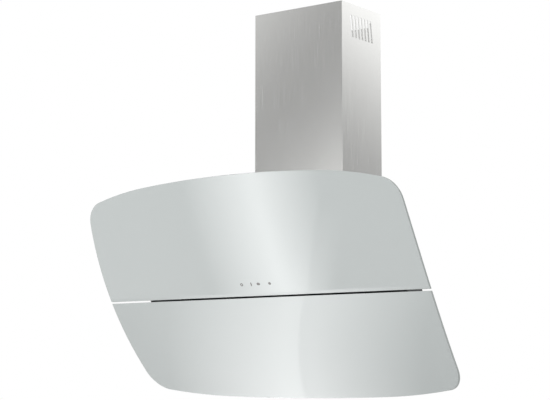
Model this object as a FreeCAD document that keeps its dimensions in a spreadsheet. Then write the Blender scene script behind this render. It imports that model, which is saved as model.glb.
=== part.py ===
import FreeCAD, Part
import math
import operator
import os
import Sketcher

# Angled glass range hood: two bent glass panels in front of an inclined sheet-metal
# casing, a motor housing behind it on the wall, and a chimney cover above.
# Millimetres. +X to the right, +Y into the wall, +Z up. The wall is the plane y = 0, and
# the origin is the centre of the four wall holes.

SIZES = {
    # glass: one bent sheet shape, cut into an upper panel and a lower door
    "glass_width": 900, "glass_thick": 6, "glass_radius": 1165,
    "slot_level": -30, "slot_reach": 321, "slot_lean": 31.1, "slot_gap": 6,
    "side_radius": 1610,
    "top_rise": 266, "top_radius": 3160, "top_half_flat": 251,
    "top_end_radius": 915, "top_corner": 56,
    "bottom_drop": 229, "bottom_radius": 7130, "bottom_half_flat": 220,
    "bottom_end_radius": 1512, "bottom_corner": 51,
    "tape_thick": 0.5, "rail_thick": 4,
    "screw_radius": 2, "screw_slack": 0.2, "screw_head": 4, "screw_length": 6,
    "seat_gap": 0.3,
    # ribs of the upper glass and rails of the door
    "rib_half": 260, "rib_flange_half": 12, "rib_thick": 2, "rib_low": 14, "rib_high": 224,
    "rib_top_angle": 19.8, "rib_foot_angle": 30.3,
    "door_top_angle": 31.8, "door_foot_angle": 44.7, "bar_foot_angle": 33.1,
    "web_foot_angle": 40.5,
    "door_web": 8, "tube_wall": 1.5, "catch_half": 250, "strike_gap": 0.8, "post_half": 9,
    "bracket_half": 10,
    # inclined casing behind the glass
    "sheet_thick": 1.2, "casing_width": 730, "casing_depth": 55,
    "casing_low": 214, "casing_high": 234, "casing_reach": 272, "casing_lean": 31.4,
    "filter_half": 225, "filter_low": 196, "filter_high": 30,
    "filter_thick": 9, "filter_pocket": 6, "filter_slack": 1.5,
    "filter_rail": 16, "rim_lip": 8, "tab_half": 15, "tab_thick": 2,
    "latch_travel": 5, "latch_half": 22, "latch_gap": 0.3, "latch_height": 8,
    "latch_thick": 4, "tongue_half": 11, "thumb_half": 1.5, "thumb_rise": 4,
    "cover_thick": 1, "core_slot": 5, "core_rib": 5, "core_count": 40,
    "mouth_half": 170, "mouth_low": 195, "mouth_high": 150,
    # motor housing on the wall
    "housing_width": 380, "housing_rise": 195, "housing_drop": 150,
    "wall_hole_across": 320, "wall_hole_rise": 240, "wall_hole_radius": 4.25,
    # blower
    "blower_reach": 112, "blower_rise": 15, "scroll_radius": 80, "scroll_step": 8,
    "scroll_half": 75, "scroll_wall": 2, "duct_lean_out": 42, "inlet_radius": 60,
    "impeller_radius": 72, "blade_depth": 13, "impeller_half": 64, "blade_thick": 1.2,
    "blade_count": 30, "hub_radius": 11, "shaft_radius": 4, "shaft_gap": 0.05,
    "motor_radius": 42, "motor_length": 50, "motor_near": 10,
    "disc_thick": 2, "hub_length": 18, "boss_radius": 5, "boss_length": 10,
    "bracket_thick": 2.5, "bush_circle": 24, "bush_radius": 7, "arm_half": 7,
    # outlet
    "collar_radius": 75, "collar_wall": 2, "collar_height": 42, "collar_flange": 6,
    "flap_thick": 1.5,
    "flap_level": 12, "flap_axis": 5, "flap_gap": 1, "journal_radius": 2,
    # chimney cover
    "chimney_width": 255, "chimney_depth": 168, "chimney_top": 699,
    "chimney_lip": 18, "vent_count": 7, "vent_pitch": 13.8, "vent_width": 6.5,
    "vent_height": 53, "vent_lean": 8, "vent_below_top": 27,
    "bracket_below": 50, "bracket_tall": 40, "bracket_hole_across": 120,
    "bracket_hole_radius": 3.5, "clip_half": 70,
    # door hinge
    "hinge_angle": 44.4, "hinge_offset": 14, "hinge_pin_radius": 3, "hinge_gap": 0.05,
    "hinge_half": 300, "lug_half": 6, "lug_radius": 7, "ear_thick": 3, "side_play": 0.4,
    # lamps, controls and wiring
    "lamp_radius": 29, "lamp_rim": 3, "lamp_half": 120, "lamp_reach": 52,
    "lamp_bezel": 3, "lamp_depth": 24,
    "control_half": 70, "control_up": 55, "control_half_up": 20, "control_out": 32,
    "board_thick": 1.6, "touch_pitch": 26, "touch_radius": 6,
    "box_wide": 80, "box_deep": 60, "box_back": 6, "box_level": 90, "box_half": 40,
    "can_out": 24, "can_radius": 15, "can_height": 62,
    "gland_across": 104, "gland_reach": 142, "gland_radius": 8,
}

doc = FreeCAD.newDocument("range_hood")
sheet = doc.addObject("Spreadsheet::Sheet", "sizes")
for row, (alias, number) in enumerate(SIZES.items(), start=1):
    sheet.set(f"A{row}", alias)
    sheet.set(f"B{row}", str(number))
    sheet.setAlias(f"B{row}", alias)
doc.recompute()

SIGNS = {"+": operator.add, "-": operator.sub, "*": operator.mul, "/": operator.truediv}


class Dim:
    """A size, or a sum of sizes, with its value and its formula over the sheet."""

    def __init__(self, value, formula):
        self.value = float(value)
        self.formula = formula

    def __add__(self, other):
        return joined(self, "+", other)

    def __radd__(self, other):
        return joined(other, "+", self)

    def __sub__(self, other):
        return joined(self, "-", other)

    def __rsub__(self, other):
        return joined(other, "-", self)

    def __mul__(self, other):
        return joined(self, "*", other)

    def __rmul__(self, other):
        return joined(other, "*", self)

    def __truediv__(self, other):
        return joined(self, "/", other)

    def __neg__(self):
        return joined(0, "-", self)


def dim(amount):
    """A plain number as a Dim; a Dim as it is."""
    if isinstance(amount, Dim):
        return amount
    return Dim(amount, f"({amount})")


def joined(left, sign, right):
    left, right = dim(left), dim(right)
    value = SIGNS[sign](left.value, right.value)
    return Dim(value, f"({left.formula} {sign} {right.formula})")


def sine(angle):
    return Dim(math.sin(math.radians(angle.value)), f"sin({angle.formula})")


def cosine(angle):
    return Dim(math.cos(math.radians(angle.value)), f"cos({angle.formula})")


def root(amount):
    return Dim(math.sqrt(amount.value), f"sqrt({amount.formula})")


def bind(item, prop, amount):
    item.setExpression(prop, dim(amount).formula)


class Sheet:
    """The driving sizes as attributes."""

    def __getattr__(self, alias):
        return Dim(SIZES[alias], f"sizes.{alias}")


S = Sheet()
XAXIS = FreeCAD.Vector(1, 0, 0)
TURNS = {
    "x": FreeCAD.Rotation(FreeCAD.Vector(0, 1, 0), 90),
    "y": FreeCAD.Rotation(XAXIS, -90),
    "z": FreeCAD.Rotation(),
    "out": FreeCAD.Rotation(XAXIS, 90 + S.casing_lean.value),
}


class Arc:
    """A round edge: its centre, its radius, and which of them the sketch is tied to."""

    def __init__(self, centre, radius, tie="radius"):
        self.centre = centre
        self.radius = radius
        self.tie = tie


class Loose:
    """A coordinate that the neighbouring arcs settle; the value is a first guess."""

    def __init__(self, value):
        self.value = float(value)


def number(amount):
    return amount.value if isinstance(amount, (Dim, Loose)) else float(amount)


def spot(point):
    return FreeCAD.Vector(number(point[0]), number(point[1]), 0)


def tie_point(sketch, edge, end, point):
    for kind, amount in zip(("DistanceX", "DistanceY"), point):
        if isinstance(amount, Loose):
            continue
        index = sketch.addConstraint(
            Sketcher.Constraint(kind, -1, 1, edge, end, number(amount)))
        bind(sketch, f"Constraints[{index}]", amount)


def draw(sketch, corners, arcs):
    """Draw a closed outline; arcs maps a corner's index to the round edge after it."""
    count = len(corners)
    ends = []
    for index in range(count):
        first, last = spot(corners[index]), spot(corners[(index + 1) % count])
        if index not in arcs:
            sketch.addGeometry(Part.LineSegment(first, last), False)
            ends.append((1, 2))
            continue
        middle = spot(arcs[index].centre)
        turn = (first - middle).cross(last - middle).z
        out = ((first + last) / 2 - middle).normalize() * number(arcs[index].radius)
        sketch.addGeometry(Part.Arc(first, middle + out, last), False)
        ends.append((1, 2) if turn > 0 else (2, 1))
    for index in range(count):
        after = (index + 1) % count
        sketch.addConstraint(Sketcher.Constraint(
            "Coincident", index, ends[index][1], after, ends[after][0]))
    for index, arc in arcs.items():
        if arc.tie in ("radius", "both"):
            at = sketch.addConstraint(
                Sketcher.Constraint("Radius", index, number(arc.radius)))
            bind(sketch, f"Constraints[{at}]", arc.radius)
        if arc.tie in ("centre", "both"):
            tie_point(sketch, index, 3, arc.centre)
    for index, corner in enumerate(corners):
        tie_point(sketch, index, ends[index][0], corner)


class Piece:
    """One body of the document, built from primitives and padded sketches."""

    def __init__(self, name):
        self.name = name
        self.body = doc.addObject("PartDesign::Body", name)
        self.body.Label = name
        self.count = 0

    def feature(self, kind):
        self.count += 1
        made = self.body.newObject(f"PartDesign::{kind}", f"{self.name}_{self.count}")
        return made

    def box(self, x, y, z, cut=False):
        """A block between the given low and high x, y and z."""
        made = self.feature("SubtractiveBox" if cut else "AdditiveBox")
        for prop, letter, (low, high) in zip(("Length", "Width", "Height"), "xyz", (x, y, z)):
            bind(made, prop, dim(high) - low)
            bind(made, f"Placement.Base.{letter}", low)
        doc.recompute()
        return self

    def rod(self, axis, start, radius, length, cut=False):
        """A cylinder from start along +x, +y, +z or out of the casing's front."""
        made = self.feature("SubtractiveCylinder" if cut else "AdditiveCylinder")
        made.Placement = FreeCAD.Placement(FreeCAD.Vector(), TURNS[axis])
        if axis == "out":
            bind(made, "Placement.Rotation.Angle", 90 + S.casing_lean)
        bind(made, "Radius", radius)
        bind(made, "Height", length)
        for letter, amount in zip("xyz", start):
            bind(made, f"Placement.Base.{letter}", amount)
        doc.recompute()
        return self

    def sketch(self, role, corners, arcs, shift):
        plane = [f for f in self.body.Origin.OriginFeatures if f.Role == role][0]
        self.count += 1
        made = self.body.newObject("Sketcher::SketchObject", f"{self.name}_{self.count}")
        made.AttachmentSupport = [(plane, "")]
        made.MapMode = "FlatFace"
        bind(made, "AttachmentOffset.Base.z", shift)
        draw(made, corners, arcs or {})
        return made

    def pad(self, role, corners, length, arcs=None, shift=0, both=True, cut=False):
        """A sketch on an origin plane, padded or pocketed along the plane's normal."""
        sketch = self.sketch(role, corners, arcs, shift)
        made = self.feature("Pocket" if cut else "Pad")
        made.Profile = sketch
        made.SideType = "Symmetric" if both else "One side"
        bind(made, "Length", length)
        doc.recompute()
        return made

    def place(self, x=0, y=0, z=0, lean=None):
        """Put the body at a point; lean turns it about X from upright towards -Y."""
        if lean is not None:
            self.body.Placement = FreeCAD.Placement(
                FreeCAD.Vector(), FreeCAD.Rotation(XAXIS, 90 + lean.value))
            bind(self.body, "Placement.Rotation.Angle", 90 + lean)
        for letter, amount in zip("xyz", (x, y, z)):
            bind(self.body, f"Placement.Base.{letter}", amount)
        return self

    def on_casing(self):
        """Casing frame: x across, y up the slope, z out of the casing's front."""
        return self.place(y=-S.casing_reach, z=S.slot_level, lean=S.casing_lean)


# Places worked out from the sizes -------------------------------------------------

arc_y = S.glass_radius * cosine(S.slot_lean) - S.slot_reach
arc_z = S.slot_level + S.glass_radius * sine(S.slot_lean)
glass_inside = S.glass_radius - S.glass_thick
rail_outside = glass_inside - S.tape_thick
rail_inside = rail_outside - S.rail_thick
half_gap = S.slot_gap / 2
casing_half = S.casing_width / 2
housing_half = S.housing_width / 2
housing_top = S.slot_level + S.housing_rise
housing_bottom = S.slot_level - S.housing_drop
blower_y = -S.blower_reach
blower_z = S.slot_level + S.blower_rise
collar_y = blower_y + S.scroll_radius + 3 * S.scroll_step - S.collar_radius


def on_arc(radius, angle):
    """A point of the y-z plane at an angle below the glass's centre of bending."""
    return (arc_y - radius * cosine(angle), arc_z - radius * sine(angle))


def casing_point(up, out):
    """The y and z of a point given in the casing's own frame."""
    lean = S.casing_lean
    return (-S.casing_reach - up * sine(lean) - out * cosine(lean),
            S.slot_level + up * cosine(lean) - out * sine(lean))


def arc_band(piece, outer, inner, low_angle, high_angle, length, shift=0):
    """A strip bent about the glass's centre, padded across X."""
    corners = [on_arc(outer, low_angle), on_arc(outer, high_angle),
               on_arc(inner, high_angle), on_arc(inner, low_angle)]
    arcs = {0: Arc((arc_y, arc_z), outer), 2: Arc((arc_y, arc_z), inner)}
    return piece.pad("YZ_Plane", corners, length, arcs, shift)


KEPT = []


def keep(item):
    """Count a body or a boolean among the sub-parts that are written out."""
    KEPT.append(item.body if isinstance(item, Piece) else item)


# Glass ----------------------------------------------------------------------------

def crossing(first, first_radius, second, second_radius):
    """Where two circles meet, on the side of larger x and y."""
    across, up = second[0] - first[0], second[1] - first[1]
    apart = math.hypot(across, up)
    along = (first_radius**2 - second_radius**2 + apart**2) / (2 * apart)
    off = math.sqrt(first_radius**2 - along**2)
    found = []
    for side in (1, -1):
        found.append((first[0] + (along * across - side * off * up) / apart,
                      first[1] + (along * up + side * off * across) / apart))
    return max(found, key=sum)


def panel_outline(name, side, rise, radius, half_flat, end_radius, corner):
    """The outline of one panel, seen from the front, as a prism through the wall plane."""
    flank = (S.glass_width / 2 - S.side_radius, 0)
    drop = radius - root(radius * radius - half_flat * half_flat)
    shoulder = rise - drop
    end_centre = (half_flat * (1 - end_radius / radius),
                  shoulder - (end_radius / radius) * (radius - drop))
    tip = crossing((flank[0].value, 0), number(S.side_radius),
                   (end_centre[0].value, end_centre[1].value), number(end_radius))
    foot = math.sqrt(number(S.side_radius)**2 - number(half_gap)**2) + flank[0].value
    half = [(Loose(side * foot), side * half_gap), (Loose(side * tip[0]), Loose(side * tip[1])),
            (side * half_flat, side * shoulder)]
    other = [(-half_flat * side, side * shoulder), (Loose(-side * tip[0]), Loose(side * tip[1])),
             (Loose(-side * foot), side * half_gap)]
    arcs = {
        0: Arc((side * flank[0], 0), S.side_radius, "both"),
        1: Arc((side * end_centre[0], side * end_centre[1]), end_radius, "centre"),
        2: Arc((0, side * (rise - radius)), radius),
        3: Arc((-end_centre[0] * side, side * end_centre[1]), end_radius, "centre"),
        4: Arc((-flank[0] * side, 0), S.side_radius, "both"),
    }
    prism = Piece(name)
    pad = prism.pad("XZ_Plane", half + other, 4 * S.slot_reach, arcs)
    corners = []
    for index, edge in enumerate(pad.Shape.Edges, start=1):
        middle = edge.CenterOfMass
        upright = edge.BoundBox.YLength > 10
        if upright and abs(middle.x) > half_flat.value + 10 and abs(middle.z) > rise.value / 2:
            corners.append(f"Edge{index}")
    fillet = prism.feature("Fillet")
    fillet.Base = (pad, corners)
    bind(fillet, "Radius", corner)
    prism.place(z=S.slot_level)
    return prism.body


def glass_panels():
    sheet_body = Piece("glass_sheet")
    arc_band(sheet_body, S.glass_radius, glass_inside, S.slot_lean + 24, S.slot_lean - 24,
             S.glass_width * 1.2)
    outlines = {
        "upper_glass": panel_outline("upper_outline", 1, S.top_rise, S.top_radius,
                                     S.top_half_flat, S.top_end_radius, S.top_corner),
        "lower_glass": panel_outline("lower_outline", -1, S.bottom_drop, S.bottom_radius,
                                     S.bottom_half_flat, S.bottom_end_radius,
                                     S.bottom_corner),
    }
    for name, outline in outlines.items():
        panel = doc.addObject("Part::Common", name)
        panel.Label = name
        panel.Base = sheet_body.body
        panel.Tool = outline
        keep(panel)



def span(middle, half):
    return (middle - half, middle + half)


def mirrored(side, near, far):
    """A stretch of x from near to far, on the right for side 1 and the left for side -1."""
    near, far = side * dim(near), side * dim(far)
    return (near, far) if side > 0 else (far, near)


def both_ways(half):
    return (-dim(half), dim(half))


SIDES = {"left": -1, "right": 1}


# Inclined casing and what it carries ----------------------------------------------

# The ribs of the upper glass are screwed to the casing's front at these places.
def rib_screw_spots(side):
    x = side * (S.rib_half + S.rib_flange_half / 2)
    return [(x, S.rib_low + 20), (x, S.rib_high - 20)]


def front_casing():
    """A folded pan, open at the back, with the filter opening in its front."""
    pan = Piece("front_casing")
    wall = S.sheet_thick
    pan.box(both_ways(casing_half), (-S.casing_low, S.casing_high), (-S.casing_depth, 0))
    pan.box(both_ways(casing_half - wall), (wall - S.casing_low, S.casing_high - wall),
            (-2 * S.casing_depth, -wall), cut=True)
    pan.box(both_ways(S.filter_half), (-S.filter_low, -S.filter_high),
            both_ways(S.casing_depth), cut=True)
    for x, up in rib_screw_spots(-1) + rib_screw_spots(1):
        pan.rod("z", (x, up, -2 * wall), S.screw_radius + S.screw_slack, 4 * wall, cut=True)
    keep(pan.on_casing())


def casing_back():
    """The plate that closes the pan's back round the mouth of the motor housing."""
    plate = Piece("casing_back")
    inset = S.sheet_thick + S.seat_gap
    plate.box(both_ways(casing_half - inset), (inset - S.casing_low, S.casing_high - inset),
              (-S.casing_depth, S.sheet_thick - S.casing_depth))
    plate.box(both_ways(S.mouth_half), (-S.mouth_low, S.mouth_high),
              (-2 * S.casing_depth, 0), cut=True)
    keep(plate.on_casing())


filter_front = -S.sheet_thick
filter_back = filter_front - S.filter_thick
filter_edge_low = S.filter_slack - S.filter_low
filter_edge_high = -S.filter_high - S.filter_slack
filter_edge_half = S.filter_half - S.filter_slack


def filter_rim():
    """The seat behind the opening: a wall round the filter and a lip under its edge."""
    rim = Piece("filter_rim")
    wall = S.sheet_thick
    lip_top = filter_back - S.seat_gap
    low, high = -S.filter_low - S.filter_pocket, S.filter_pocket - S.filter_high
    rim.box(both_ways(S.filter_half + wall), (low - wall, high + wall),
            (lip_top - wall, -wall))
    rim.box(both_ways(S.filter_half), (low, high), (lip_top, 0), cut=True)
    rim.box(both_ways(S.filter_half - S.rim_lip),
            (S.rim_lip - S.filter_low, -S.filter_high - S.rim_lip),
            (-S.casing_depth, 0), cut=True)
    keep(rim.on_casing())


def filter_frame():
    """The cassette's frame: four rails, two tabs below and the latch's groove on top."""
    frame = Piece("filter_frame")
    rail = S.filter_rail
    frame.box(both_ways(filter_edge_half), (filter_edge_low, filter_edge_high),
              (filter_back, filter_front))
    frame.box(both_ways(filter_edge_half - rail),
              (filter_edge_low + rail, filter_edge_high - rail),
              both_ways(S.casing_depth), cut=True)
    for side in SIDES.values():
        frame.box(span(side * filter_edge_half / 2, S.tab_half),
                  (filter_edge_low - S.filter_pocket + S.seat_gap, filter_edge_low + 1),
                  (filter_back, filter_back + S.tab_thick))
    frame.box(both_ways(S.latch_half + S.latch_gap),
              (latch_low - S.latch_travel - S.latch_gap, 0),
              (latch_back - S.latch_gap, 0), cut=True)
    keep(frame.on_casing())


latch_low = filter_edge_high - S.latch_height
latch_back = filter_front - S.latch_thick


def filter_latch():
    """The sprung slide: a plate in its groove, a tongue behind the casing, a thumb rib."""
    latch = Piece("filter_latch")
    latch.box(both_ways(S.latch_half), (latch_low, filter_edge_high - S.latch_gap),
              (latch_back, filter_front - S.latch_gap))
    latch.box(both_ways(S.tongue_half),
              (latch_low, filter_edge_high + S.latch_travel - S.latch_gap),
              (latch_back, latch_back + S.tab_thick))
    latch.box(both_ways(S.tongue_half), span(latch_low + S.latch_height / 2, S.thumb_half),
              (latch_back, S.thumb_rise))
    keep(latch.on_casing())


def latch_cover():
    """The plate that holds the slide in its groove, with a window for the thumb rib."""
    cover = Piece("latch_cover")
    middle = latch_low + S.latch_height / 2
    cover.box(both_ways(S.latch_half + 8),
              (latch_low - S.latch_travel - 2, filter_edge_high),
              (filter_front, filter_front + S.cover_thick))
    cover.box(both_ways(S.tongue_half + 4 * S.latch_gap),
              (middle - S.thumb_half - S.latch_travel - S.latch_gap,
               middle + S.thumb_half + S.latch_gap),
              both_ways(S.casing_depth), cut=True)
    keep(cover.on_casing())


def filter_grille():
    """The slotted aluminium core inside the frame."""
    core = Piece("filter_grille")
    inset = S.filter_rail + S.seat_gap
    half = filter_edge_half - inset
    low, high = filter_edge_low + inset, filter_edge_high - inset
    core.box(both_ways(half), (low, high), (filter_back + 1, filter_front - 1))
    first = S.core_rib - half
    slot = core.pad("XY_Plane", [
        (first, low + S.core_rib), (first + S.core_slot, low + S.core_rib),
        (first + S.core_slot, high - S.core_rib), (first, high - S.core_rib)],
        4 * S.filter_thick, cut=True)
    row = core.feature("LinearPattern")
    row.Originals = [slot]
    row.Direction = (slot.Profile[0], ["H_Axis"])
    row.Mode = "Spacing"
    bind(row, "Offset", S.core_slot + S.core_rib)
    bind(row, "Occurrences", S.core_count)
    core.body.Tip = row
    keep(core.on_casing())


def upper_rib(name, side):
    """A pressed rib that carries the upper glass: bent flange, web and foot."""
    rib = Piece(name)
    middle = side * S.rib_half
    width = 2 * S.rib_flange_half
    arc_band(rib, rail_outside, rail_inside, S.rib_top_angle, S.rib_foot_angle, width, middle)
    thin = S.rib_thick
    rib.pad("YZ_Plane", [
        on_arc(rail_inside, S.rib_top_angle), on_arc(rail_inside, S.rib_foot_angle),
        casing_point(S.rib_low, 0), casing_point(S.rib_high, 0)], thin,
        {0: Arc((arc_y, arc_z), rail_inside)}, middle)
    rib.pad("YZ_Plane", [
        casing_point(S.rib_low, 0), casing_point(S.rib_high, 0),
        casing_point(S.rib_high, thin), casing_point(S.rib_low, thin)], width, None, middle)
    for x, up in rib_screw_spots(side):
        rib.rod("out", (x, *casing_point(up, -1)), S.screw_radius + S.screw_slack,
                thin + 1, cut=True)
    keep(rib)


def rib_screws():
    screws = Piece("rib_screws")
    for x, up in rib_screw_spots(-1) + rib_screw_spots(1):
        screws.rod("z", (x, up, S.rib_thick), S.screw_head, S.screw_head / 2)
        screws.rod("z", (x, up, -S.screw_length), S.screw_radius, S.screw_length + S.rib_thick)
    keep(screws.on_casing())


# Door -----------------------------------------------------------------------------

hinge_y, hinge_z = on_arc(glass_inside - S.hinge_offset, S.hinge_angle)
hinge_up = ((hinge_z - S.slot_level) * cosine(S.casing_lean)
            - (hinge_y + S.casing_reach) * sine(S.casing_lean))
hinge_out = (-(hinge_y + S.casing_reach) * cosine(S.casing_lean)
             - (hinge_z - S.slot_level) * sine(S.casing_lean))
ear_inside = S.lug_half + S.side_play


def door_rail(name, side):
    """A bent rail taped to the lower glass, with the hinge lug at its lower end."""
    rail = Piece(name)
    middle = side * S.hinge_half
    arc_band(rail, rail_outside, rail_inside, S.door_top_angle, S.door_foot_angle,
             2 * S.rib_flange_half, middle)
    arc_band(rail, rail_inside, rail_inside - S.door_web, S.bar_foot_angle,
             S.web_foot_angle, S.rib_thick, middle)
    lug_angle = S.hinge_angle
    lug_spread = 0.33
    pivot = glass_inside - S.hinge_offset
    rail.pad("YZ_Plane", [
        on_arc(rail_inside + 1, lug_angle - lug_spread), on_arc(rail_inside + 1, lug_angle + lug_spread),
        on_arc(pivot, lug_angle + lug_spread), on_arc(pivot, lug_angle - lug_spread)],
        2 * S.lug_half, None, middle)
    start = middle - S.lug_half
    rail.rod("x", (start, hinge_y, hinge_z), S.lug_radius, 2 * S.lug_half)
    rail.rod("x", (start - 1, hinge_y, hinge_z), S.hinge_pin_radius + S.hinge_gap,
             2 * S.lug_half + 2, cut=True)
    keep(rail)


def door_crossbar():
    """A steel tube between the rails, just under the slot; the magnets hold it."""
    bar = Piece("door_crossbar")
    length = 2 * (S.hinge_half - S.rib_flange_half - S.seat_gap)
    inner = rail_inside - S.door_web
    wall = S.tube_wall
    arc_band(bar, rail_outside, inner, S.door_top_angle, S.bar_foot_angle, length)
    angle_wall = wall / (S.glass_radius * math.pi / 180)
    hollow = bar.pad("YZ_Plane", [
        on_arc(rail_outside - wall, S.door_top_angle + angle_wall),
        on_arc(rail_outside - wall, S.bar_foot_angle - angle_wall),
        on_arc(inner + wall, S.bar_foot_angle - angle_wall),
        on_arc(inner + wall, S.door_top_angle + angle_wall)],
        2 * length, {0: Arc((arc_y, arc_z), rail_outside - wall),
                     2: Arc((arc_y, arc_z), inner + wall)}, cut=True)
    hollow.Label = "bar_hollow"
    keep(bar)


def hinge_bracket(name, side):
    """A foot on the casing's lower flange and two ears that hold the hinge pin."""
    bracket = Piece(name)
    middle = side * S.hinge_half
    outer = ear_inside + S.ear_thick
    bracket.box(span(middle, outer + 8), (-S.casing_low - S.ear_thick, -S.casing_low),
                span(hinge_out, S.bracket_half))
    for hand in (-1, 1):
        near = mirrored(hand, ear_inside, outer)
        reach = (middle + near[0], middle + near[1])
        bracket.box(reach, (hinge_up, -S.casing_low), span(hinge_out, S.lug_radius))
        bracket.rod("x", (reach[0], hinge_up, hinge_out), S.lug_radius, S.ear_thick)
    bracket.rod("x", (middle - outer - 1, hinge_up, hinge_out),
                S.hinge_pin_radius + S.hinge_gap, 2 * outer + 2, cut=True)
    keep(bracket.on_casing())


def hinge_pins():
    pins = Piece("hinge_pins")
    half = ear_inside + S.ear_thick + 2
    for side in SIDES.values():
        start = side * S.hinge_half - half
        pins.rod("x", (start, hinge_y, hinge_z), S.hinge_pin_radius, 2 * half)
        pins.rod("x", (start - 1.5, hinge_y, hinge_z), S.hinge_pin_radius + 1.5, 1.5)
    keep(pins)


def magnet_catches():
    """Two magnets in posts on the casing; they stop and hold the door's crossbar."""
    posts = Piece("magnet_catches")
    strike_angle = (S.door_top_angle + S.bar_foot_angle) / 2
    y, z = on_arc(rail_inside - S.door_web, strike_angle)
    up = ((z - S.slot_level) * cosine(S.casing_lean)
          - (y + S.casing_reach) * sine(S.casing_lean))
    out = (-(y + S.casing_reach) * cosine(S.casing_lean)
           - (z - S.slot_level) * sine(S.casing_lean))
    for side in SIDES.values():
        middle = side * S.catch_half
        posts.box(span(middle, 18), span(up, S.post_half), (0, S.rib_thick))
        posts.box(span(middle, 12), span(up, S.post_half), (0, out - S.strike_gap))
    keep(posts.on_casing())


# Controls behind the upper glass ---------------------------------------------------

def control_housing():
    """A plastic cup on the casing's front that carries the touch board."""
    cup = Piece("control_housing")
    cup.box(both_ways(S.control_half), span(S.control_up, S.control_half_up),
            (0, S.control_out))
    cup.box(both_ways(S.control_half - 2), span(S.control_up, S.control_half_up - 2),
            (2, S.control_out + 1), cut=True)
    for side in SIDES.values():
        cup.box(mirrored(side, S.control_half - 1, S.control_half + 12),
                span(S.control_up, 10), (0, 2))
    keep(cup.on_casing())


def touch_board():
    board = Piece("touch_board")
    board.box(both_ways(S.control_half), span(S.control_up, S.control_half_up),
              (S.control_out, S.control_out + S.board_thick))
    for step in (-1.5, -0.5, 0.5, 1.5):
        board.rod("z", (step * S.touch_pitch, S.control_up, S.control_out + S.board_thick - 0.5),
                  S.touch_radius, 1)
    keep(board.on_casing())


# Motor housing --------------------------------------------------------------------

def mouth_y(z):
    """Where the casing's back plane stands at a height."""
    lean = S.casing_lean
    return (S.casing_depth / cosine(lean) - S.casing_reach
            - (z - S.slot_level) * sine(lean) / cosine(lean))


def rear_housing():
    """The folded wrap between the wall plate and the casing's back."""
    wrap = Piece("rear_housing")
    wall = S.sheet_thick
    wrap.pad("YZ_Plane", [
        (-wall, housing_bottom), (-wall, housing_top),
        (mouth_y(housing_top), housing_top), (mouth_y(housing_bottom), housing_bottom)],
        2 * housing_half)
    low, high = housing_bottom + wall, housing_top - wall
    wrap.pad("YZ_Plane", [
        (20, low), (20, high), (mouth_y(high) - 40, high), (mouth_y(low) - 40, low)],
        2 * (housing_half - wall), cut=True)
    wrap.rod("z", (0, collar_y, high - 1), collar_inside, 2 * wall + 2, cut=True)
    wrap.rod("z", (S.gland_across, -S.gland_reach, high - 1), S.gland_radius,
             2 * wall + 2, cut=True)
    for side in SIDES.values():
        wrap.rod("z", (side * S.lamp_half, -S.lamp_reach, housing_bottom - 1),
                 lamp_body_radius + S.seat_gap, 2 * wall + 2, cut=True)
    keep(wrap)


collar_outside = S.collar_radius - 0.5
collar_inside = collar_outside - S.collar_wall
lamp_body_radius = S.lamp_radius - S.lamp_rim


def back_plate():
    """The plate against the wall, with the four wall holes about the origin."""
    plate = Piece("back_plate")
    plate.box(both_ways(housing_half), (housing_bottom, housing_top), (0, S.sheet_thick))
    for across in (-1, 1):
        for rise in (-1, 1):
            plate.rod("z", (across * S.wall_hole_across / 2, rise * S.wall_hole_rise / 2, -1),
                      S.wall_hole_radius, S.sheet_thick + 2, cut=True)
    plate.body.Placement = FreeCAD.Placement(
        FreeCAD.Vector(), FreeCAD.Rotation(XAXIS, 90))
    keep(plate)


def lamps():
    """Two round lamps in the housing's underside: bezels, lenses and finned bodies."""
    bezels, lenses, bodies = Piece("lamp_bezels"), Piece("lamp_lenses"), Piece("lamp_bodies")
    for side in SIDES.values():
        x, y = side * S.lamp_half, -S.lamp_reach
        under = housing_bottom - S.lamp_bezel
        bezels.rod("z", (x, y, under), S.lamp_radius, S.lamp_bezel)
        bezels.rod("z", (x, y, under - 1), lamp_body_radius - 2, S.lamp_bezel + 2, cut=True)
        lenses.rod("z", (x, y, under + 0.5), lamp_body_radius - 2 - S.seat_gap,
                   S.lamp_bezel - 0.5)
        bodies.rod("z", (x, y, housing_bottom), lamp_body_radius, S.lamp_depth)
        for level in (0.35, 0.55, 0.75):
            bodies.rod("z", (x, y, housing_bottom + level * S.lamp_depth),
                       lamp_body_radius + 1, 2, cut=True)
            bodies.rod("z", (x, y, housing_bottom + level * S.lamp_depth - 1),
                       lamp_body_radius - 6, 4)
    for piece in (bezels, lenses, bodies):
        keep(piece)


# Blower ---------------------------------------------------------------------------

duct_top = housing_top - S.sheet_thick - S.seat_gap - blower_z


def scroll_outline(wall):
    """The spiral in the blower's own y and z: three quarter turns and the outlet duct."""
    start, step = S.scroll_radius, S.scroll_step
    corners = [
        (0, start + wall), (-start - wall, 0), (step, -start - step - wall),
        (start + 3 * step + wall, step), (start + 3 * step + wall, duct_top),
        (-S.duct_lean_out - wall, duct_top)]
    arcs = {
        0: Arc((0, 0), start + wall), 1: Arc((step, 0), start + step + wall),
        2: Arc((step, step), start + 2 * step + wall)}
    return corners, arcs


def boss_spots():
    """Where the scroll's halves are screwed together, outside the spiral."""
    start, step, out = S.scroll_radius, S.scroll_step, S.scroll_wall + S.screw_head + S.seat_gap
    places = [(0, 0, start, 135), (step, 0, start + step, 240),
              (step, step, start + 2 * step, 315)]
    return [(y + (radius + out) * math.cos(math.radians(turn)),
             z + (radius + out) * math.sin(math.radians(turn)))
            for y, z, radius, turn in places]


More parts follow.
